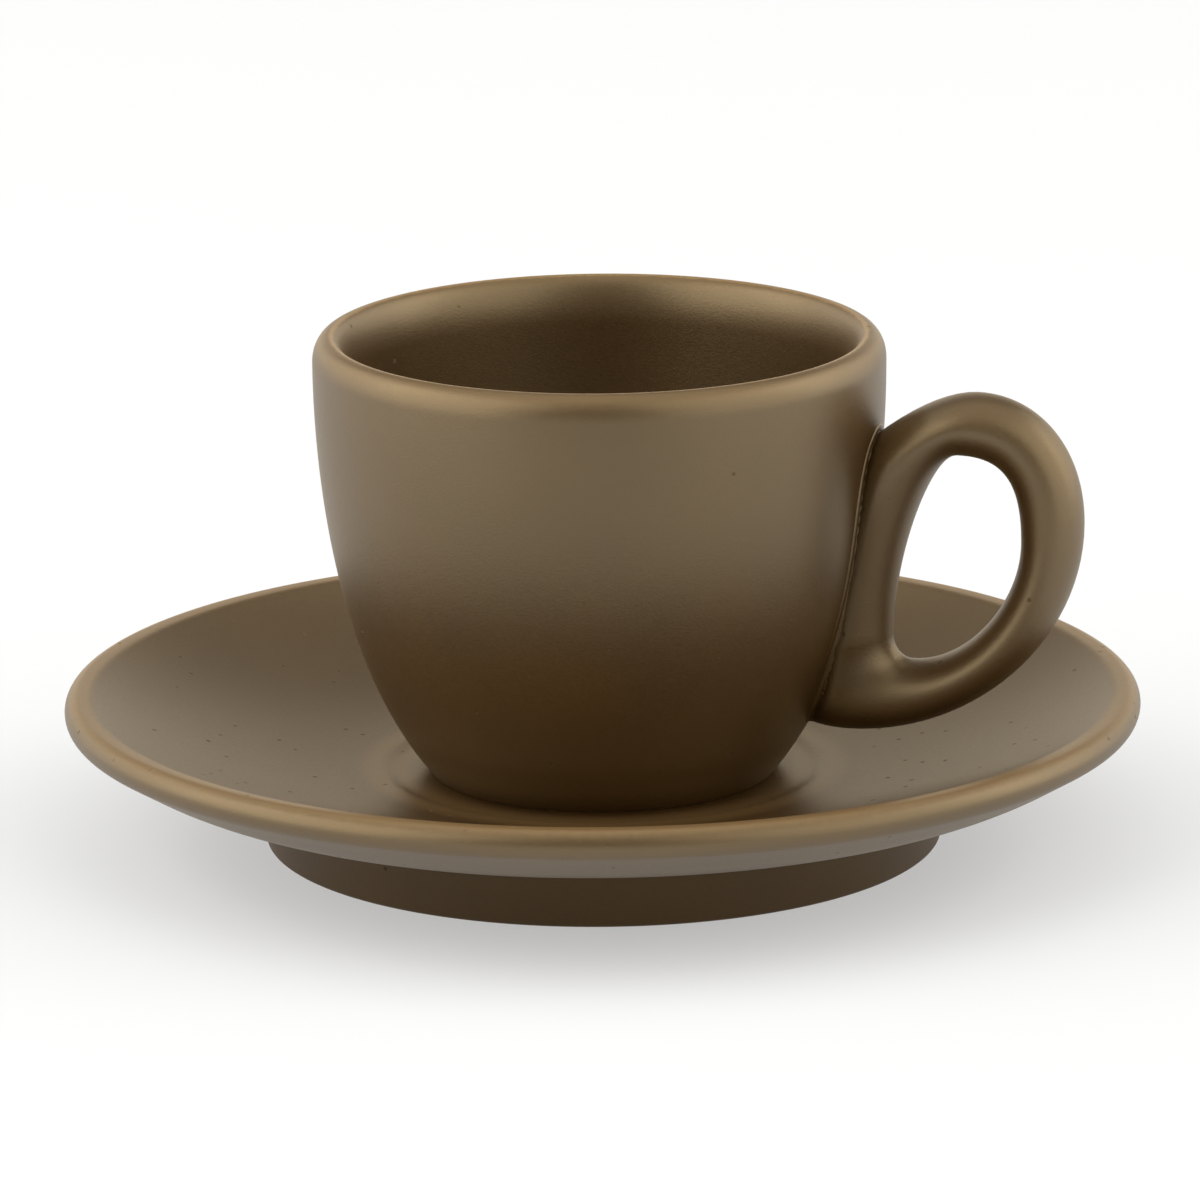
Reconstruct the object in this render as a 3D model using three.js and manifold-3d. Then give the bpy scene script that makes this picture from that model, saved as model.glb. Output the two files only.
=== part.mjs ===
// Espresso cup with a looped handle, standing in the well of its saucer.
// Millimetres, +Z up. The origin is on the table under the middle of the saucer.
// The handle points along +X.
import * as THREE from "three";
import { mergeVertices } from "three/addons/utils/BufferGeometryUtils.js";
import Module from "manifold-3d";

// Saucer
const saucerRadius = 60;
const saucerHeight = 17.1; // table to the crest of the rim
const saucerRimRound = 1.75; // radius of the rolled edge
const saucerFlankWidth = 7.6; // width of the steep band under the rim
const saucerFlankSlope = 31; // degrees from level
const saucerFlankRound = 2.5; // how far the turn into that band is rounded
const saucerDishSlope = 30; // degrees from level, just inside the rim
const saucerDishSweep = 9; // how far that slope carries towards the middle
const saucerFloorSweep = 10; // how far the level floor carries towards the rim
const saucerFloor = 4.2; // thickness under the well
const saucerFootRecess = 3.4; // depth of the hollow inside the foot
const saucerFootRadius = 38.5;
const saucerFootWidth = 4.5;
const saucerFootHeight = 6.4; // table to the corner between the foot and the underside
const saucerFootRound = 0.7;
const saucerFootFillet = 1.6;

// Well of the saucer, round the foot of the cup
const wellClearance = 3; // foot of the cup to the edge of the well
const wellStep = 0.4; // drop from the dish into the well
const wellShoulder = 3; // width of the soft slope down that drop

// Cup, with its heights measured from its own foot
const cupRadius = 31.75;
const cupHeight = 49.8;
const cupWall = 3; // thickness at the rim
const cupRimDrop = 2.9; // height of the outer rounding of the rim
const cupRimInnerRound = 1.05;
const cupFootRadius = 19.4;
const cupFootWidth = 3;
const cupFootRecess = 1.2;
const cupFootRound = 0.4;
const cupFootFillet = 0.6;
const cupFloor = 3.6; // thickness above the recess
const cupSideLean = 39.8; // degrees from upright, where the side leaves the foot
const cupSideSweep = 18.8; // how far that lean carries up the side
const cupShoulderSweep = 5.75; // how far the upright wall carries down from the rim
const cupInsideInset = 10.4; // edge of the foot to the level floor inside
const cupInsideSweep = 12; // how far the floor carries out before it turns up
const cupInsideDrop = 26; // how far the upright inside wall carries down

// Handle, a loop round a finger hole
const handleReach = 22.8; // widest of the cup to the far side of the loop
const handleCrownDrop = 4.95; // rim of the cup to the crown of the loop
const handleCrownOut = 10.75; // widest of the cup to the crown
const handleFarDrop = 14.25; // crown to the height of the far side
const handleBottom = 6.15; // foot of the cup to the underside of the loop
const handleBottomOut = 5.1; // wall of the cup to the lowest point
const handleBar = 6.9; // thickness of the loop
const handleLowerBar = 8.15; // thickness of the lower root
const handlePad = 5.35; // thickness of the pad along the wall of the cup
const handleHoleCrownOut = 8.85; // widest of the cup to the top of the finger hole
const handleHoleFarDrop = 9.45; // top of the finger hole to the height of its far side
const handleHoleLowOut = 8.6; // wall of the cup to the bottom of the finger hole
const handleHoleNearRise = 2.9; // bottom of the finger hole to where it comes nearest the cup
const handleWidth = 8.6; // across the loop
const handleRootWidth = 11.6; // across the root, along the wall of the cup
const handleRootDepth = 12; // how far the root's form runs on inside the wall before it is trimmed
const handleRootTurn = 3.35; // middle of the root, in quarters of a turn round the loop from its crown
const handleRootSpan = 1.1; // quarters of a turn over which the root narrows to the loop
const slipGap = 0.3; // film of slip that joins the handle to the cup

// Fullness of the quarters of the handle's outlines from the crown round: 0.55 is a quarter of an ellipse
const handleHoleFullness = [0.72, 0.49, 0.6, 0.42];
const handleRimFullness = [0.58, 0.54, 0.5, 0.36];

// Facets
const roundSteps = 60; // round the axis
const sweepSteps = 12; // along a long curve
const edgeSteps = 6; // over a rim
const bendSteps = 3; // round a small corner
const handleSteps = 56; // round the loop
const handleSides = 18; // round its bar
const sameSpot = 1e-4; // points closer than this are one

const wellHeight = saucerFootRecess + saucerFloor;

const wasm = await Module();
wasm.setup();

const degrees = THREE.MathUtils.degToRad;
const at = (across, up) => new THREE.Vector2(across, up);
const along = (start, angle, length) =>
  at(start.x + length * Math.cos(angle), start.y + length * Math.sin(angle));

function bend(start, corner, end) {
  return new THREE.QuadraticBezierCurve(start, corner, end).getPoints(bendSteps);
}

function sweep(start, pullStart, pullEnd, end, steps = sweepSteps) {
  return new THREE.CubicBezierCurve(start, pullStart, pullEnd, end).getPoints(steps);
}

function roundEdge(centre, width, height, from, to) {
  return new THREE.EllipseCurve(centre.x, centre.y, width, height, from, to).getPoints(edgeSteps);
}

// Turns a profile of radius and height round the Z axis.
function revolve(profile) {
  const points = profile.filter((p, i) => i === 0 || p.distanceTo(profile[i - 1]) > sameSpot);
  return new THREE.LatheGeometry(points, roundSteps).rotateX(Math.PI / 2);
}

function solidOf(geometry) {
  const bare = geometry.clone();
  bare.deleteAttribute("normal");
  bare.deleteAttribute("uv");
  const merged = mergeVertices(bare, sameSpot);
  const mesh = new wasm.Mesh({
    numProp: 3,
    vertProperties: merged.attributes.position.array,
    triVerts: new Uint32Array(merged.index.array),
  });
  return new wasm.Manifold(mesh);
}

function geometryOf(solid) {
  const { vertProperties, triVerts } = solid.getMesh();
  const geometry = new THREE.BufferGeometry();
  geometry.setAttribute("position", new THREE.BufferAttribute(vertProperties, 3));
  geometry.setIndex(new THREE.BufferAttribute(triVerts, 1));
  geometry.computeVertexNormals();
  return geometry;
}

// Stretch of profile down the inner wall of a foot ring, from the recess to the flat that it stands on.
function footInside(radius, recess, fillet, round) {
  const high = Math.min(fillet, recess / 2);
  const low = Math.min(round, recess / 2);
  return [
    ...bend(at(radius - high, recess), at(radius, recess), at(radius, recess - high)),
    ...bend(at(radius, low), at(radius, 0), at(radius + low, 0)),
  ];
}

function saucerGeometry() {
  const flank = degrees(saucerFlankSlope);
  const dish = degrees(saucerDishSlope);
  const wellRadius = cupFootRadius + wellClearance;

  // Rolled edge, from where the flank meets it to where the dish leaves it.
  const edge = at(saucerRadius - saucerRimRound, saucerHeight - saucerRimRound);
  const edgeStart = along(edge, flank - Math.PI / 2, saucerRimRound);
  const edgeEnd = along(edge, dish + Math.PI / 2, saucerRimRound);

  // Underside, which turns from a shallow cone beside the foot to the steeper flank.
  const turnRadius = saucerRadius - saucerFlankWidth;
  const turn = at(turnRadius, edgeStart.y - (edgeStart.x - turnRadius) * Math.tan(flank));
  const footCorner = at(saucerFootRadius, saucerFootHeight);
  const coneWidth = footCorner.distanceTo(turn);
  const coneStart = footCorner.clone().lerp(turn, saucerFootFillet / coneWidth);
  const coneEnd = turn.clone().lerp(coneStart, Math.min(0.5, saucerFlankRound / coneWidth));
  const flankStart = along(turn, flank, saucerFlankRound);

  const shoulder = at(wellRadius + wellShoulder, wellHeight + wellStep);
  const wellEdge = at(wellRadius, wellHeight);
  return revolve([
    at(0, saucerFootRecess),
    ...footInside(
      saucerFootRadius - saucerFootWidth,
      saucerFootRecess,
      saucerFootFillet,
      saucerFootRound,
    ),
    ...bend(
      at(saucerFootRadius - saucerFootRound, 0),
      at(saucerFootRadius, 0),
      at(saucerFootRadius, saucerFootRound),
    ),
    ...bend(at(saucerFootRadius, saucerFootHeight - saucerFootFillet), footCorner, coneStart),
    ...bend(coneEnd, turn, flankStart),
    ...roundEdge(edge, saucerRimRound, saucerRimRound, flank - Math.PI / 2, dish + Math.PI / 2),
    ...sweep(
      edgeEnd,
      along(edgeEnd, dish, -saucerDishSweep),
      along(shoulder, 0, saucerFloorSweep),
      shoulder,
    ),
    ...sweep(
      shoulder,
      along(shoulder, 0, -wellShoulder / 2),
      along(wellEdge, 0, wellShoulder / 2),
      wellEdge,
      bendSteps,
    ),
    at(0, wellHeight),
  ]);
}

// Outer side of the cup, from the edge of its foot to the start of its rim.
function cupSide() {
  const lean = Math.PI / 2 - degrees(cupSideLean);
  const low = at(cupFootRadius, cupFootRound);
  const high = at(cupRadius, cupHeight - cupRimDrop);
  return new THREE.CubicBezierCurve(
    low,
    along(low, lean, cupSideSweep),
    along(high, Math.PI / 2, -cupShoulderSweep),
    high,
  );
}

// Radius of the outer side of the cup at a height above its foot.
function wallRadius(height) {
  const points = cupSide().getPoints(sweepSteps);
  const above = Math.max(1, points.findIndex((p) => p.y >= height));
  const [a, b] = [points[above - 1], points[above]];
  return THREE.MathUtils.mapLinear(height, a.y, b.y, a.x, b.x);
}

function cupGeometry() {
  const insideRadius = cupRadius - cupWall;
  const insideFloor = cupFootRecess + cupFloor;
  const crest = insideRadius + cupRimInnerRound;
  const insideTop = at(insideRadius, cupHeight - cupRimInnerRound);
  const floorEdge = at(cupFootRadius - cupInsideInset, insideFloor);
  const toe = at(cupFootRadius - cupFootRound * Math.tan(degrees(cupSideLean)), 0);
  return revolve([
    at(0, cupFootRecess),
    ...footInside(toe.x - cupFootWidth, cupFootRecess, cupFootFillet, cupFootRound),
    ...bend(along(toe, 0, -cupFootRound), toe, at(cupFootRadius, cupFootRound)),
    ...cupSide().getPoints(sweepSteps),
    ...roundEdge(at(crest, cupHeight - cupRimDrop), cupRadius - crest, cupRimDrop, 0, Math.PI / 2),
    ...roundEdge(at(crest, insideTop.y), cupRimInnerRound, cupRimInnerRound, Math.PI / 2, Math.PI),
    ...sweep(
      insideTop,
      along(insideTop, Math.PI / 2, -cupInsideDrop),
      along(floorEdge, 0, cupInsideSweep),
      floorEdge,
    ),
    at(0, insideFloor),
  ]);
}

// Space that the cup and the film of slip take up, which the handle is trimmed to.
function cupEnvelope() {
  const side = cupSide();
  const swollen = side.getPoints(sweepSteps).map((p, i) => {
    const tangent = side.getTangent(i / sweepSteps);
    return at(p.x + slipGap * tangent.y, p.y - slipGap * tangent.x);
  });
  const mouth = at(swollen.at(-1).x, cupHeight);
  return revolve([at(0, swollen[0].y), ...swollen, mouth, at(0, cupHeight)]);
}

// Closed outline through four extreme points, level at the top and bottom and upright at the sides.
// Its answer gives the point at a turn of 0 to 4 quarters round it from the top.
function outline(top, far, bottom, near, fullness) {
  const quarter = (level, upright, full) => [
    level,
    at(THREE.MathUtils.lerp(level.x, upright.x, full), level.y),
    at(upright.x, THREE.MathUtils.lerp(upright.y, level.y, full)),
    upright,
  ];
  const quarters = [
    quarter(top, far, fullness[0]),
    quarter(bottom, far, fullness[1]).reverse(),
    quarter(bottom, near, fullness[2]),
    quarter(top, near, fullness[3]).reverse(),
  ].map((points) => new THREE.CubicBezierCurve(...points));
  return (turn) => quarters[Math.floor(turn)].getPoint(turn % 1);
}

// Loft of oval sections from the finger hole out to the handle's own outline, closed into a ring.
function handleRing() {
  const crown = cupHeight - handleCrownDrop;
  const holeTop = crown - handleBar;
  const holeBottom = handleBottom + handleLowerBar;
  const holeNear = holeBottom + handleHoleNearRise;
  const hole = outline(
    at(cupRadius + handleHoleCrownOut, holeTop),
    at(cupRadius + handleReach - handleBar, holeTop - handleHoleFarDrop),
    at(wallRadius(holeBottom) + handleHoleLowOut, holeBottom),
    at(wallRadius(holeNear) + handlePad, holeNear),
    handleHoleFullness,
  );
  const rim = outline(
    at(cupRadius + handleCrownOut, crown),
    at(cupRadius + handleReach, crown - handleFarDrop),
    at(wallRadius(handleBottom) + handleBottomOut, handleBottom),
    at(wallRadius(holeBottom) - handleRootDepth, holeBottom),
    handleRimFullness,
  );
  const positions = [];
  const faces = [];
  for (let i = 0; i < handleSteps; i++) {
    const turn = (4 * i) / handleSteps;
    const fromRoot = Math.min(Math.abs(turn - handleRootTurn), turn + 4 - handleRootTurn);
    const swell = THREE.MathUtils.smoothstep(handleRootSpan - fromRoot, 0, handleRootSpan);
    const width = THREE.MathUtils.lerp(handleWidth, handleRootWidth, swell);
    const inner = hole(turn);
    const outer = rim(turn);
    for (let j = 0; j < handleSides; j++) {
      const angle = (2 * Math.PI * j) / handleSides;
      const spot = inner.clone().lerp(outer, (1 - Math.cos(angle)) / 2);
      positions.push(spot.x, (width / 2) * Math.sin(angle), spot.y);
      const next = ((i + 1) % handleSteps) * handleSides;
      const a = i * handleSides + j;
      const b = i * handleSides + ((j + 1) % handleSides);
      const c = next + ((j + 1) % handleSides);
      const d = next + j;
      faces.push(a, b, c, a, c, d);
    }
  }
  const geometry = new THREE.BufferGeometry();
  geometry.setAttribute("position", new THREE.Float32BufferAttribute(positions, 3));
  geometry.setIndex(faces);
  return geometry;
}

function handleGeometry() {
  return geometryOf(solidOf(handleRing()).subtract(solidOf(cupEnvelope())));
}

function piece(name, geometry, color) {
  const glaze = new THREE.MeshStandardMaterial({ color, roughness: 0.5, metalness: 0 });
  const mesh = new THREE.Mesh(geometry, glaze);
  mesh.name = name;
  return mesh;
}

const cup = new THREE.Group();
cup.position.z = wellHeight;
cup.add(piece("cup_body", cupGeometry(), 0x7d654a), piece("handle", handleGeometry(), 0x7a6247));

const cupAndSaucer = new THREE.Group();
cupAndSaucer.add(piece("saucer", saucerGeometry(), 0x806a50), cup);

export default cupAndSaucer;
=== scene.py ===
import bpy
import math
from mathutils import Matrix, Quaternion, Vector
from mathutils.bvhtree import BVHTree


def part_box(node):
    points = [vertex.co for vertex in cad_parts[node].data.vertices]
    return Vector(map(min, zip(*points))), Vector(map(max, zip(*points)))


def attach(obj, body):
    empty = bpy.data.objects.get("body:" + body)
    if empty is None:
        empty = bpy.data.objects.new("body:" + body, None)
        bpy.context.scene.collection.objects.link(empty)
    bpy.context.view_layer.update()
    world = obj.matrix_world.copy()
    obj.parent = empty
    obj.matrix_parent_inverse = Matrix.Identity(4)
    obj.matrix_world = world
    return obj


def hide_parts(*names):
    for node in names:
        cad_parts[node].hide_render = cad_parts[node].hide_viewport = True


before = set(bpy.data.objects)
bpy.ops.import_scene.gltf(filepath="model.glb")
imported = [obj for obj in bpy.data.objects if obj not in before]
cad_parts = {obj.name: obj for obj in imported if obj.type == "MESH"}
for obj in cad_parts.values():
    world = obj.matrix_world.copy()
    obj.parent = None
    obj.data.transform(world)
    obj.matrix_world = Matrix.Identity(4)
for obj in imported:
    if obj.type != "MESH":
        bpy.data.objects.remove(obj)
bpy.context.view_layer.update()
mm = 0.001


# Outlines: points of (radius, height) in millimetres

def along(start, angle, length):
    return start + length * Vector((math.cos(angle), math.sin(angle)))


def sweepPoints(start, pullStart, pullEnd, end, steps):
    points = []
    for i in range(steps + 1):
        t = i / steps
        s = 1 - t
        points.append(start * s**3 + pullStart * 3 * s * s * t + pullEnd * 3 * s * t * t + end * t**3)
    return points


def bendPoints(start, corner, end, steps=6):
    return sweepPoints(start, start.lerp(corner, 2 / 3), end.lerp(corner, 2 / 3), end, steps)


def ovalPoints(centre, width, height, fromAngle, toAngle, steps=12):
    points = []
    for i in range(steps + 1):
        angle = math.radians(fromAngle + (toAngle - fromAngle) * i / steps)
        points.append(centre + Vector((width * math.cos(angle), height * math.sin(angle))))
    return points


def footPoints(radius, recess, fillet, edge):  # down the inner wall of a foot ring
    high = bendPoints(
        Vector((radius - fillet, recess)), Vector((radius, recess)), Vector((radius, recess - fillet)))
    low = bendPoints(Vector((radius, edge)), Vector((radius, 0)), Vector((radius + edge, 0)))
    return high + low


def evenPoints(points, gap, least=0.01):  # drops doubled points and fills long straight stretches
    kept = [points[0]]
    for point in points[1:]:
        length = (point - kept[-1]).length
        if length < least:
            continue
        last = kept[-1]
        parts = max(1, round(length / gap))
        kept += [last.lerp(point, (i + 1) / parts) for i in range(parts)]
    return kept


# A piece turned on the wheel: a vertex is extruded along the outline, then spun round the axis

def turnPiece(name, outline, lift, steps=192):
    bpy.ops.object.select_all(action="DESELECT")
    points = [Vector((p.x * mm, 0, (p.y + lift) * mm)) for p in evenPoints(outline, gap=1.2)]
    bpy.ops.mesh.primitive_plane_add(size=mm)
    piece = bpy.context.object
    piece.name = name
    bpy.ops.object.mode_set(mode="EDIT")
    bpy.ops.mesh.merge(type="CENTER")
    bpy.ops.transform.translate(value=points[0])
    for last, point in zip(points, points[1:]):
        bpy.ops.mesh.extrude_region_move(TRANSFORM_OT_translate={"value": point - last})
    bpy.ops.mesh.select_all(action="SELECT")
    bpy.ops.mesh.spin(steps=steps, angle=2 * math.pi, center=(0, 0, 0), axis=(0, 0, 1))
    bpy.ops.mesh.select_all(action="SELECT")
    bpy.ops.mesh.remove_doubles(threshold=0.002 * mm)
    bpy.ops.mesh.normals_make_consistent(inside=False)
    bpy.ops.object.mode_set(mode="OBJECT")
    bpy.ops.object.shade_smooth()
    print(name, "turned,", len(piece.data.polygons), "faces")
    return piece


# Saucer

saucerValues = {
    "rimRound": 1.75,
    "rimLand": 1.3,  # narrow land on top of the rim, with a crease to the dish
    "rimFall": 0.14,
    "rimTurn": 85,  # the round of the rim ends here, in degrees
    "rimCrease": 0.45,
    "flankWidth": 7.6,
    "flankSlope": 31,
    "flankRound": 4,
    "dishSlope": 30,
    "dishSweep": 9,
    "floorSweep": 10,
    "footRadius": 38.5,
    "footWidth": 4.5,
    "footTaper": 0.7,
    "footHeight": 6.4,
    "footEdge": 0.7,
    "footFillet": 1.6,
    "recess": 3.4,
    "wellRadius": 22.4,
    "wellStep": 0.4,
    "wellShoulder": 3,
    "dryInset": 10,  # the underside is dry from this far inside the rim
    "dryTilt": 0.2,
}


def makeSaucer():
    v = saucerValues
    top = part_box("saucer")[1] / mm
    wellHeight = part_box("cup_body")[0].z / mm
    flank = math.radians(v["flankSlope"])
    dish = math.radians(v["dishSlope"])
    quarter = math.pi / 2
    edge = Vector((top.x - v["rimRound"], top.z - v["rimRound"]))
    edgeStart = along(edge, flank - quarter, v["rimRound"])
    rimEdge = edge + Vector((-v["rimLand"], v["rimRound"] - v["rimFall"]))
    edgeEnd = along(rimEdge, dish, -v["rimCrease"])
    turnRadius = top.x - v["flankWidth"]
    turn = Vector((turnRadius, edgeStart.y - (edgeStart.x - turnRadius) * math.tan(flank)))
    corner = Vector((v["footRadius"], v["footHeight"]))
    footToe = v["footRadius"] - v["footTaper"]
    cone = (turn - corner).normalized()
    shoulder = Vector((v["wellRadius"] + v["wellShoulder"], wellHeight + v["wellStep"]))
    wellEdge = Vector((v["wellRadius"], wellHeight))
    softStep = Vector((v["wellShoulder"] / 2, 0))
    outline = [Vector((0, v["recess"]))]
    outline += footPoints(v["footRadius"] - v["footWidth"], v["recess"], v["footFillet"], v["footEdge"])
    outline += bendPoints(
        Vector((footToe - v["footEdge"], 0)), Vector((footToe, 0)), Vector((footToe, v["footEdge"])))
    outline += bendPoints(
        corner - Vector((0, v["footFillet"])), corner, corner + cone * v["footFillet"])
    outline += bendPoints(
        turn - cone * v["flankRound"], turn, along(turn, flank, v["flankRound"]))
    outline += ovalPoints(
        edge, v["rimRound"], v["rimRound"], v["flankSlope"] - 90, v["rimTurn"], steps=20)
    outline += bendPoints(rimEdge + Vector((v["rimCrease"], v["rimFall"] / 4)), rimEdge, edgeEnd)
    outline += sweepPoints(
        edgeEnd, along(edgeEnd, dish, -v["dishSweep"]), along(shoulder, 0, v["floorSweep"]), shoulder, 30)
    outline += sweepPoints(shoulder, shoulder - softStep, wellEdge + softStep, wellEdge, 8)
    outline += [Vector((0, wellHeight))]
    piece = turnPiece("saucer_glazed", outline, lift=0)
    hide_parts("saucer")
    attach(piece, "saucer")
    return piece


# Cup, with heights above its own foot

cupValues = {
    "crest": 1.95,  # from the outer wall to the crest of the rim
    "rimDrop": 2.9,
    "lipFlare": 2,
    "lipDrop": 5.4,
    "footRadius": 19.4,
    "footWidth": 3,
    "footRecess": 1.2,
    "footEdge": 0.4,
    "footFillet": 0.6,
    "floor": 3.6,
    "sideLean": 39.8,
    "sideSweep": 18.8,
    "shoulderSweep": 5.75,
    "insideInset": 10.4,
    "insideSweep": 12,
    "insideDrop": 22,
}
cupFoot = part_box("cup_body")[0].z / mm
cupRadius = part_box("cup_body")[1].x / mm
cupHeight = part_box("cup_body")[1].z / mm - cupFoot


def cupSide(steps):
    v = cupValues
    low = Vector((v["footRadius"], v["footEdge"]))
    high = Vector((cupRadius, cupHeight - v["rimDrop"]))
    lean = math.radians(90 - v["sideLean"])
    return sweepPoints(
        low, along(low, lean, v["sideSweep"]), high - Vector((0, v["shoulderSweep"])), high, steps)


def makeCup():
    v = cupValues
    insideFloor = v["footRecess"] + v["floor"]
    crest = cupRadius - v["crest"]
    insideTop = Vector((crest - v["lipFlare"], cupHeight - v["lipDrop"]))
    floorEdge = Vector((v["footRadius"] - v["insideInset"], insideFloor))
    toe = Vector((v["footRadius"] - v["footEdge"] * math.tan(math.radians(v["sideLean"])), 0))
    outline = [Vector((0, v["footRecess"]))]
    outline += footPoints(toe.x - v["footWidth"], v["footRecess"], v["footFillet"], v["footEdge"])
    outline += bendPoints(
        toe - Vector((v["footEdge"], 0)), toe, Vector((v["footRadius"], v["footEdge"])))
    outline += cupSide(40)
    outline += ovalPoints(
        Vector((crest, cupHeight - v["rimDrop"])), v["crest"], v["rimDrop"], 0, 90, steps=16)
    outline += ovalPoints(Vector((crest, insideTop.y)), v["lipFlare"], v["lipDrop"], 90, 180, steps=20)
    drop = Vector((0, v["insideDrop"]))
    outline += sweepPoints(
        insideTop, insideTop - drop, along(floorEdge, 0, v["insideSweep"]), floorEdge, 40)
    outline += [Vector((0, insideFloor))]
    piece = turnPiece("cup_glazed", outline, lift=cupFoot)
    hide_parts("cup_body")
    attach(piece, "cup")
    return piece


# Handle: oval sections round a finger hole, bridged into a loop

handleValues = {
    "reach": 22.8,
    "crownDrop": 4.95,
    "crownOut": 10.75,
    "farDrop": 14.25,
    "bottom": 6.15,
    "bottomOut": 5.1,
    "bar": 6.9,
    "lowerBar": 8.15,
    "pad": 5.35,
    "holeCrownOut": 8.85,
    "holeFarDrop": 9.45,
    "holeLowOut": 8.6,
    "holeNearRise": 2.9,
    "width": 8.6,
    "rootWidth": 11.6,
    "rootDepth": 12,
    "rootTurn": 3.35,
    "rootSpan": 1.1,
    "holeFullness": (0.72, 0.49, 0.6, 0.42),
    "rimFullness": (0.58, 0.54, 0.5, 0.36),
    "buried": 1.5,  # how far the root runs into the wall of the cup
    "neck": 0.2,  # how much the root narrows at the wall
    "neckLength": 2.4,
    "sections": 112,
    "sides": 64,
}
sidePoints = cupSide(120)


def wallRadius(height):  # outer radius of the cup at a height above its foot
    for a, b in zip(sidePoints, sidePoints[1:]):
        if a.y <= height <= b.y:
            return a.x + (b.x - a.x) * (height - a.y) / (b.y - a.y)
    return sidePoints[0].x if height < sidePoints[0].y else cupRadius


def loopOutline(top, far, bottom, near, fullness):
    def quarter(level, upright, full):
        return [
            level,
            Vector((level.x + (upright.x - level.x) * full, level.y)),
            Vector((upright.x, upright.y + (level.y - upright.y) * full)),
            upright,
        ]

    quarters = [
        quarter(top, far, fullness[0]),
        quarter(bottom, far, fullness[1])[::-1],
        quarter(bottom, near, fullness[2]),
        quarter(top, near, fullness[3])[::-1],
    ]

    def spot(turn):  # turn counts quarters from the top
        a, b, c, d = quarters[int(turn)]
        t = turn % 1
        s = 1 - t
        return a * s**3 + b * 3 * s * s * t + c * 3 * s * t * t + d * t**3

    return spot


def handleOutlines():
    v = handleValues
    crown = cupHeight - v["crownDrop"]
    holeTop = crown - v["bar"]
    holeBottom = v["bottom"] + v["lowerBar"]
    holeNear = holeBottom + v["holeNearRise"]
    hole = loopOutline(
        Vector((cupRadius + v["holeCrownOut"], holeTop)),
        Vector((cupRadius + v["reach"] - v["bar"], holeTop - v["holeFarDrop"])),
        Vector((wallRadius(holeBottom) + v["holeLowOut"], holeBottom)),
        Vector((wallRadius(holeNear) + v["pad"], holeNear)),
        v["holeFullness"])
    rim = loopOutline(
        Vector((cupRadius + v["crownOut"], crown)),
        Vector((cupRadius + v["reach"], crown - v["farDrop"])),
        Vector((wallRadius(v["bottom"]) + v["bottomOut"], v["bottom"])),
        Vector((wallRadius(holeBottom) - v["rootDepth"], holeBottom)),
        v["rimFullness"])
    return hole, rim


def makeHandle():
    v = handleValues
    hole, rim = handleOutlines()
    bpy.ops.object.select_all(action="DESELECT")
    bpy.ops.mesh.primitive_circle_add(vertices=3, radius=mm)
    piece = bpy.context.object
    piece.name = "handle_glazed"
    bpy.ops.object.mode_set(mode="EDIT")
    bpy.ops.mesh.delete(type="VERT")
    for i in range(v["sections"]):
        turn = 4 * i / v["sections"]
        fromRoot = min(abs(turn - v["rootTurn"]), turn + 4 - v["rootTurn"])
        x = max(0, 1 - fromRoot / v["rootSpan"])
        swell = x * x * (3 - 2 * x)
        width = v["width"] + (v["rootWidth"] - v["width"]) * swell
        inner, outer = hole(turn), rim(turn)
        middle = (inner + outer) / 2
        span = outer - inner
        bpy.ops.mesh.primitive_circle_add(
            vertices=v["sides"],
            radius=span.length / 2 * mm,
            location=(middle.x * mm, 0, (middle.y + cupFoot) * mm),
            rotation=(0, -math.atan2(span.y, span.x), 0))
        bpy.ops.transform.resize(value=(1, width / span.length, 1), center_override=(0, 0, 0))
    bpy.ops.mesh.select_all(action="SELECT")
    bpy.ops.mesh.bridge_edge_loops(type="CLOSED")
    bpy.ops.mesh.select_all(action="SELECT")
    bpy.ops.mesh.normals_make_consistent(inside=False)
    bpy.ops.object.mode_set(mode="OBJECT")
    bpy.ops.object.shade_smooth()
    for vertex in piece.data.vertices:  # the root narrows at the wall and stops inside it
        across = vertex.co.xy
        wall = wallRadius(vertex.co.z / mm - cupFoot)
        near = min(1, max(0, 1 - (across.length / mm - wall) / v["neckLength"]))
        vertex.co.y *= 1 - v["neck"] * near**2
        deepest = (wall - v["buried"]) * mm
        if across.length < deepest:
            vertex.co.xy = across.normalized() * deepest
    print("handle bridged,", len(piece.data.polygons), "faces")
    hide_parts("handle")
    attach(piece, "cup")
    return piece


# Seam of slip round the root: a flat bead on the wall, with a groove between it and the handle

seamValues = {
    "middle": 23.5,  # height of the middle of the root
    "halfHeight": 17,
    "halfWidth": 5.5,
    "groove": 0.3,
    "grooveTip": 0.05,  # above and under the root
    "beadWidth": 0.9,
    "beadHeight": 0.2,
    "above": 0.12,  # height over the wall at which the line of the root is taken
    "buried": 0.6,
    "sunk": 0.03,  # how far the bead's edges sink into the wall
    "fadeStart": 1.1,  # the bead fades out towards the bottom of the root
    "fadeRate": 1.2,
    "feelFrom": 1.8,  # where the search for the handle's side starts
    "lowFillet": 1.3,  # under the root the slip fills the corner
    "filletSteps": 6,
    "around": 180,
    "beadSteps": 12,
    "reachSteps": 300,
    "evenings": 6,  # how often the line of the seam is smoothed
}


def wallSpot(height, azimuth):  # point on the wall of the cup, and the way out of it
    radius = wallRadius(height)
    slope = math.atan(wallRadius(height + 0.5) - wallRadius(height - 0.5))  # over 1 mm
    out = Vector((math.cos(azimuth), math.sin(azimuth), 0))
    spot = out * radius * mm
    spot.z = (height + cupFoot) * mm
    normal = out * math.cos(slope)
    normal.z = -math.sin(slope)
    return spot, normal


def ontoWall(spot):
    return wallSpot(spot.z / mm - cupFoot, math.atan2(spot.y, spot.x))


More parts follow.
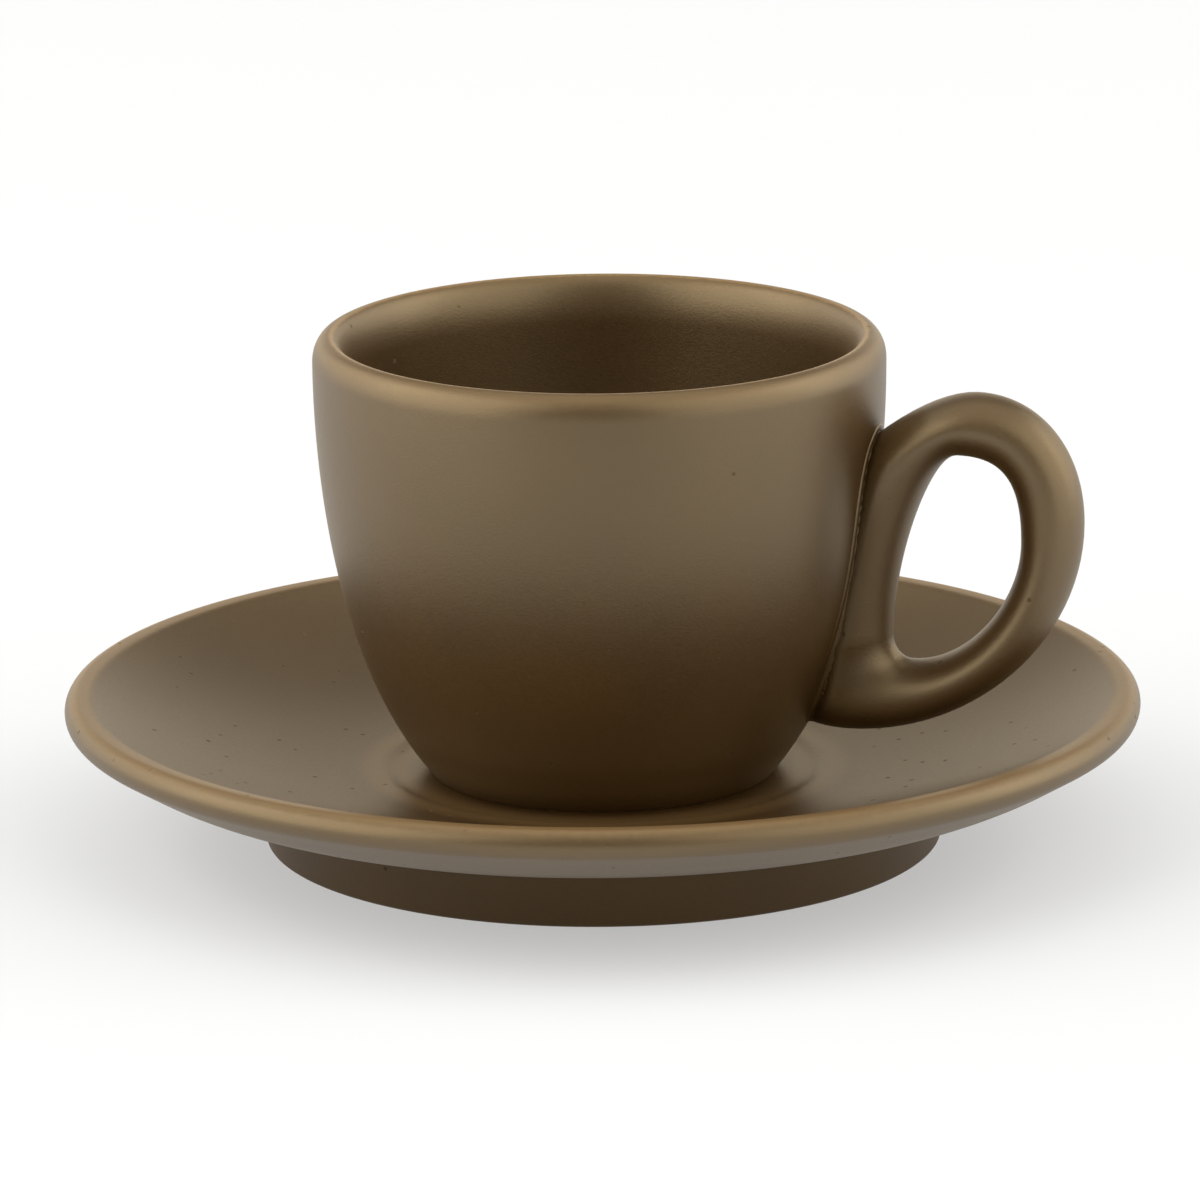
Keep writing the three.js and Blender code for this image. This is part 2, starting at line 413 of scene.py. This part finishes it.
def seamFoot(angle, reach):  # point on the wall, its way out and the way off the root
    v = seamValues
    height = v["middle"] + v["halfHeight"] * reach * math.sin(angle)
    azimuth = v["halfWidth"] * reach * math.cos(angle) / wallRadius(height)
    foot, out = wallSpot(height, azimuth)
    level = Vector((-math.sin(azimuth), math.cos(azimuth), 0))
    steep = out.cross(level)
    away = level * (math.cos(angle) / v["halfWidth"]) + steep * (math.sin(angle) / v["halfHeight"])
    return foot, out, away.normalized()


def seamReach(tree, angle):  # feels along the wall, from outside, for the side of the handle
    v = seamValues
    last = None
    for i in range(v["reachSteps"]):
        reach = v["feelFrom"] * (1 - i / v["reachSteps"])
        foot, out, _away = seamFoot(angle, reach)
        spot = foot + out * v["above"] * mm
        if last:
            hit = tree.ray_cast(last, spot - last, (spot - last).length)
            if hit[0]:
                return reach
        last = spot
    return 1


def seamSection(tree, angle, reach):
    v = seamValues
    foot, out, away = seamFoot(angle, reach)
    groove = v["grooveTip"] + (v["groove"] - v["grooveTip"]) * math.cos(angle) ** 2
    crown = v["beadHeight"] * min(1, max(0, v["fadeRate"] * math.sin(angle) + v["fadeStart"]))
    skirt, skirtOut = ontoWall(foot + away * (groove + v["beadWidth"]) * mm)
    points = [skirt - skirtOut * v["buried"] * mm]
    for i in range(v["beadSteps"] + 1):
        t = i / v["beadSteps"]
        spot, spotOut = ontoWall(foot + away * (groove + v["beadWidth"] * (1 - t)) * mm)
        rise = crown * (1 - abs(2 * t - 1) ** 3) - v["sunk"]
        points.append(spot + spotOut * rise * mm)
    low = max(0, -math.sin(angle))
    fillet = v["above"] + (v["lowFillet"] - v["above"]) * low**1.5
    start, _out = ontoWall(foot + away * min(fillet, groove + v["beadWidth"] / 2) * mm)
    touch, side, _index, _distance = tree.find_nearest(foot + out * fillet * mm)
    points += bendPoints(start, foot, touch, v["filletSteps"])
    points.append(touch - side * v["buried"] * mm)
    points.append(foot - (away + out) * v["buried"] * mm)
    return points


def makeSeam(handle):
    v = seamValues
    tree = BVHTree.FromObject(handle, bpy.context.evaluated_depsgraph_get())
    angles = [2 * math.pi * i / v["around"] for i in range(v["around"])]
    reaches = [seamReach(tree, angle) for angle in angles]
    for _ in range(v["evenings"]):
        after = reaches[1:] + reaches[:1]
        reaches = [(reaches[i - 1] + 2 * r + after[i]) / 4 for i, r in enumerate(reaches)]
    sections = [seamSection(tree, angle, reach) for angle, reach in zip(angles, reaches)]
    print("root reaches", round(min(reaches), 2), "to", round(max(reaches), 2))
    across = len(sections[0])
    bpy.ops.object.select_all(action="DESELECT")
    bpy.ops.mesh.primitive_grid_add(x_subdivisions=v["around"], y_subdivisions=across, size=mm)
    piece = bpy.context.object
    piece.name = "slip_seam"
    for i, vertex in enumerate(piece.data.vertices):
        row, column = divmod(i, v["around"] + 1)
        vertex.co = sections[column % v["around"]][row % across]
    bpy.ops.object.mode_set(mode="EDIT")
    bpy.ops.mesh.select_all(action="SELECT")
    bpy.ops.mesh.remove_doubles(threshold=0.0005 * mm)
    bpy.ops.mesh.normals_make_consistent(inside=False)
    bpy.ops.object.mode_set(mode="OBJECT")
    bpy.ops.object.shade_smooth()
    print("seam rolled,", len(piece.data.polygons), "faces")
    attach(piece, "cup")
    return piece


saucer = makeSaucer()
cup = makeCup()
handle = makeHandle()
seam = makeSeam(handle)


# Shader maths: a wire is one output socket, and arithmetic on wires adds Math nodes

class Wire:
    def __init__(self, finish, socket):
        self.finish = finish
        self.socket = socket

    def other(self, output):  # another output of the same node
        return Wire(self.finish, self.socket.node.outputs[output])

    def maths(self, operation, first, second):
        return self.finish.add("Math", {"operation": operation}, {0: first, 1: second})

    def __add__(self, other):
        return self.maths("ADD", self, other)

    def __radd__(self, other):
        return self.maths("ADD", other, self)

    def __sub__(self, other):
        return self.maths("SUBTRACT", self, other)

    def __rsub__(self, other):
        return self.maths("SUBTRACT", other, self)

    def __mul__(self, other):
        return self.maths("MULTIPLY", self, other)

    def __rmul__(self, other):
        return self.maths("MULTIPLY", other, self)

    def __pow__(self, other):
        return self.maths("POWER", self, other)

    def __gt__(self, other):
        return self.maths("GREATER_THAN", self, other)


class Finish:
    def __init__(self, name):
        self.material = bpy.data.materials.new(name)
        self.material.use_nodes = True
        self.tree = self.material.node_tree
        self.tree.nodes.clear()

    def add(self, kind, settings, sockets):
        node = self.tree.nodes.new("ShaderNode" + kind)
        for name, value in settings.items():
            setattr(node, name, value)
        for name, value in sockets.items():
            if isinstance(value, Wire):
                self.tree.links.new(value.socket, node.inputs[name])
            else:
                node.inputs[name].default_value = value
        shown = [socket for socket in node.outputs if socket.enabled]
        return Wire(self, shown[0]) if shown else None

    def mix(self, share, first, second):
        return self.add("Mix", {"data_type": "RGBA"}, {"Factor": share, "A": first, "B": second})

    def step(self, value, zero, one):  # a soft step from 0 to 1
        return self.add("MapRange", {"interpolation_type": "SMOOTHSTEP"}, {
            "Value": value, "From Min": zero, "From Max": one})

    def noise(self, place, size, detail, roughness=0.5):
        return self.add("TexNoise", {}, {
            "Vector": place, "Scale": 1 / (size * mm), "Detail": detail, "Roughness": roughness})


def rgba(red, green, blue):  # written as in a picture, 0 to 255
    def linear(c):
        c /= 255
        return c / 12.92 if c <= 0.04045 else ((c + 0.055) / 1.055) ** 2.4
    return (linear(red), linear(green), linear(blue), 1)


glazeValues = {
    "dark": rgba(45, 27, 4),
    "light": rgba(60, 39, 9),
    "speck": rgba(26, 14, 4),
    "thinGlazeAndHighlight": rgba(150, 122, 84),  # glaze that ran thin on an edge, and partly painted highlight along the rims
    "clay": rgba(146, 116, 84),  # bare clay under a foot ring
    "gloss": 1,
    "glassIndex": 1.7,
    "glossTint": (1, 0.82, 0.55, 1),
    "roughness": 0.34,
    "cloudSize": 15,
    "grainSize": 0.42,
    "grainFlat": (1, 1, 2.2),  # the wheel draws the grain out level
    "peelSize": 1.1,
    "peelHeight": 0.02,
    "speckCell": 2.6,
    "speckSize": 0.34,
    "speckCore": 0.5,  # share of a speck that is fully dark
    "speckDepth": 1.2,
    "speckShare": 0.85,
    "cloudShare": 0.4,
    "toneRange": (0.3, 0.7),
    "peelShare": 0.4,
    "edgeCore": 0.3,  # share of a pale edge band that is fully pale
    "edgeStray": 0.4,  # how unevenly it ends
    "bareStray": 0.1,
    "bareTop": 0.2,  # bare clay reaches this high above the foot
    "bareFull": 0.08,
    "grainRough": 0.16,
    "speckRough": 0.3,
    "dryRough": 0.2,
    "bareRough": 0.4,
}


def makeGlaze(name, edges, foot, specks, dry=0):  # dry glaze is dull
    v = glazeValues
    glaze = Finish(name)
    place = glaze.add("TexCoord", {}, {}).other("Object")
    axes = glaze.add("SeparateXYZ", {}, {"Vector": place})
    height = axes.other("Z")
    radius = (axes ** 2 + axes.other("Y") ** 2) ** 0.5
    cloud = glaze.noise(place, v["cloudSize"], 2)
    drawn = glaze.add("VectorMath", {"operation": "MULTIPLY"}, {0: place, 1: v["grainFlat"]})
    grain = glaze.noise(drawn, v["grainSize"], 3, 0.6)
    bumps = glaze.noise(place, v["peelSize"], 2)
    tone = glaze.step(cloud * v["cloudShare"] + grain * (1 - v["cloudShare"]), *v["toneRange"])
    colour = glaze.mix(tone, v["dark"], v["light"])
    cells = glaze.add("TexVoronoi", {}, {"Vector": place, "Scale": 1 / (v["speckCell"] * mm)})
    chosen = glaze.add("SeparateColor", {}, {"Color": cells.other("Color")}) > 1 - specks
    reach = v["speckSize"] / v["speckCell"]
    speck = glaze.step(cells, reach, reach * v["speckCore"]) * chosen
    colour = glaze.mix(speck * v["speckShare"], colour, v["speck"])
    wearAndHighlight = 0
    # paler bands round edges: partly glaze worn thin, partly painted highlight
    for edgeRadius, edgeHeight, width, share in edges:
        gap = ((radius - edgeRadius * mm) ** 2 + (height - edgeHeight * mm) ** 2) ** 0.5
        gap = gap + (bumps - 0.5) * (v["edgeStray"] * mm)
        wearAndHighlight = wearAndHighlight + glaze.step(gap, width * mm, width * v["edgeCore"] * mm) * share
    if edges:
        colour = glaze.mix(wearAndHighlight, colour, v["thinGlazeAndHighlight"])
    above = height + (bumps - 0.5) * (v["bareStray"] * mm)
    bare = glaze.step(above, (foot + v["bareTop"]) * mm, (foot + v["bareFull"]) * mm)
    colour = glaze.mix(bare, colour, v["clay"])
    rough = v["roughness"] + dry * v["dryRough"] + grain * v["grainRough"]
    rough = rough + speck * v["speckRough"] + bare * v["bareRough"]
    relief = bumps * v["peelShare"] + grain - speck * v["speckDepth"]
    bump = glaze.add("Bump", {}, {"Strength": 1, "Distance": v["peelHeight"] * mm, "Height": relief})
    surface = glaze.add("BsdfPrincipled", {}, {
        "Base Color": colour,
        "Roughness": rough,
        "IOR": v["glassIndex"],
        "Specular IOR Level": v["gloss"] * (1 - dry),
        "Specular Tint": v["glossTint"],
        "Normal": bump})
    glaze.add("OutputMaterial", {}, {"Surface": surface})
    print(name, "mixed,", len(glaze.tree.nodes), "nodes")
    return glaze.material


cupTop = cupFoot + cupHeight
cupCrest = cupRadius - cupValues["crest"]
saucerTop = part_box("saucer")[1] / mm
saucerCrest = saucerTop.x - saucerValues["rimRound"]
# paler ring round the well's shoulder: painted highlight where the step catches light
wellHighlight = saucerValues["wellRadius"] + saucerValues["wellShoulder"] / 2
# Pale bands, on the rims partly glaze worn thin and partly painted highlight, round the well's shoulder
# painted highlight: radius, height, width of the band and its share
saucerEdges = [(saucerCrest, saucerTop.z, 1.8, 0.38), (wellHighlight, cupFoot, 4.5, 0.22)]
# on the cup, the pale lines at the rim's crest are partly glaze worn thin and partly painted highlight
cupEdges = [(cupCrest - 0.2, cupTop, 0.4, 0.5), (cupCrest + 0.4, cupTop, 2.4, 0.16)]
saucer.data.materials.append(makeGlaze("saucer glaze", saucerEdges, foot=0, specks=0.4))
saucer.data.materials.append(makeGlaze("foot glaze", [], foot=0, specks=0.1, dry=0.6))
dryRadius = saucerTop.x - saucerValues["dryInset"]
for face in saucer.data.polygons:  # the underside within the flank is dry
    under = face.normal.z < saucerValues["dryTilt"] and face.center.z < saucerTop.z / 2 * mm
    face.material_index = int(under and face.center.xy.length < dryRadius * mm)
cup.data.materials.append(makeGlaze("cup glaze", cupEdges, foot=cupFoot, specks=0.06))
handleGlaze = makeGlaze("handle glaze", [], foot=0, specks=0.06)
handle.data.materials.append(handleGlaze)
seam.data.materials.append(handleGlaze)


# Stage: floor, light and camera

cameraValues = {
    "azimuth": 14,
    "elevation": 14.6,
    "distance": 0.974,
    "lens": 262.35,
    "sensor": 36,
    "aim": (-0.00017, -0.00004, 0.0268),
    "roll": -0.55,
}


def wayTo(azimuth, elevation):  # from the object, in degrees
    a = math.radians(azimuth)
    e = math.radians(elevation)
    return Vector((math.sin(a) * math.cos(e), -math.cos(a) * math.cos(e), math.sin(e)))


def makeCamera():
    v = cameraValues
    back = wayTo(v["azimuth"], v["elevation"])
    bpy.ops.object.camera_add(location=Vector(v["aim"]) + back * v["distance"])
    camera = bpy.context.object
    camera.rotation_mode = "QUATERNION"
    roll = Quaternion((0, 0, 1), math.radians(v["roll"]))
    camera.rotation_quaternion = (-back).to_track_quat("-Z", "Y") @ roll
    camera.data.lens = v["lens"]
    camera.data.sensor_width = v["sensor"]
    bpy.context.scene.camera = camera
    print("camera set")


lightValues = {
    "distance": 1.2,
    "surroundings": 0.25,
    "warm": (1, 0.92, 0.78),
    "boxes": {  # azimuth from the camera, elevation, width, height, strength
        "left box": (-68, 27, 1.5, 1.3, 2.25),
        "left side": (-118, 22, 0.9, 1.2, 1.5),
        "right box": (64, 27, 1.8, 1.3, 1.55),
        "right side": (114, 20, 1, 1.2, 1.65),
        "back sheet": (180, 13, 2, 0.55, 1.1),
        "top box": (0, 90, 1.6, 1.6, 0.75),
    },
}


def makeLights():
    v = lightValues
    for name, (azimuth, elevation, width, height, strength) in v["boxes"].items():
        back = wayTo(cameraValues["azimuth"] + azimuth, elevation)
        bpy.ops.object.light_add(type="AREA", location=back * v["distance"])
        light = bpy.context.object
        light.name = name
        light.rotation_mode = "QUATERNION"
        light.rotation_quaternion = (-back).to_track_quat("-Z", "Y")
        light.data.shape = "RECTANGLE"
        light.data.size = width
        light.data.size_y = height
        light.data.energy = strength * math.pi * width * height
        light.data.color = v["warm"]
    world = bpy.data.worlds.new("surroundings")
    bpy.context.scene.world = world
    world.use_nodes = True
    background = world.node_tree.nodes["Background"]
    background.inputs["Color"].default_value = (*v["warm"], 1)
    background.inputs["Strength"].default_value = v["surroundings"]
    print(len(v["boxes"]), "lights set")


floorValues = {
    "size": 6,
    "pale": (0.79, 0.86, 1, 1),  # even grey under the warm light
    "white": 0.4,  # share of plain white in what the camera and reflections see
}


def makeFloor():
    v = floorValues
    bpy.ops.mesh.primitive_plane_add(size=v["size"])
    floor = bpy.context.object
    floor.name = "floor"
    paper = Finish("paper")
    pale = paper.add("BsdfDiffuse", {}, {"Color": v["pale"]})
    glow = paper.add("Emission", {}, {"Color": (1, 1, 1, 1), "Strength": 1})
    white = paper.add("MixShader", {}, {0: v["white"], 1: pale, 2: glow})
    path = paper.add("LightPath", {}, {})
    seen = path + path.other("Is Glossy Ray") + path.other("Is Transmission Ray")
    shown = paper.add("MixShader", {}, {0: seen, 1: pale, 2: white})
    paper.add("OutputMaterial", {}, {"Surface": shown})
    floor.data.materials.append(paper.material)
    print("floor laid")


makeCamera()
makeLights()
makeFloor()
bpy.context.scene.view_settings.view_transform = "Standard"
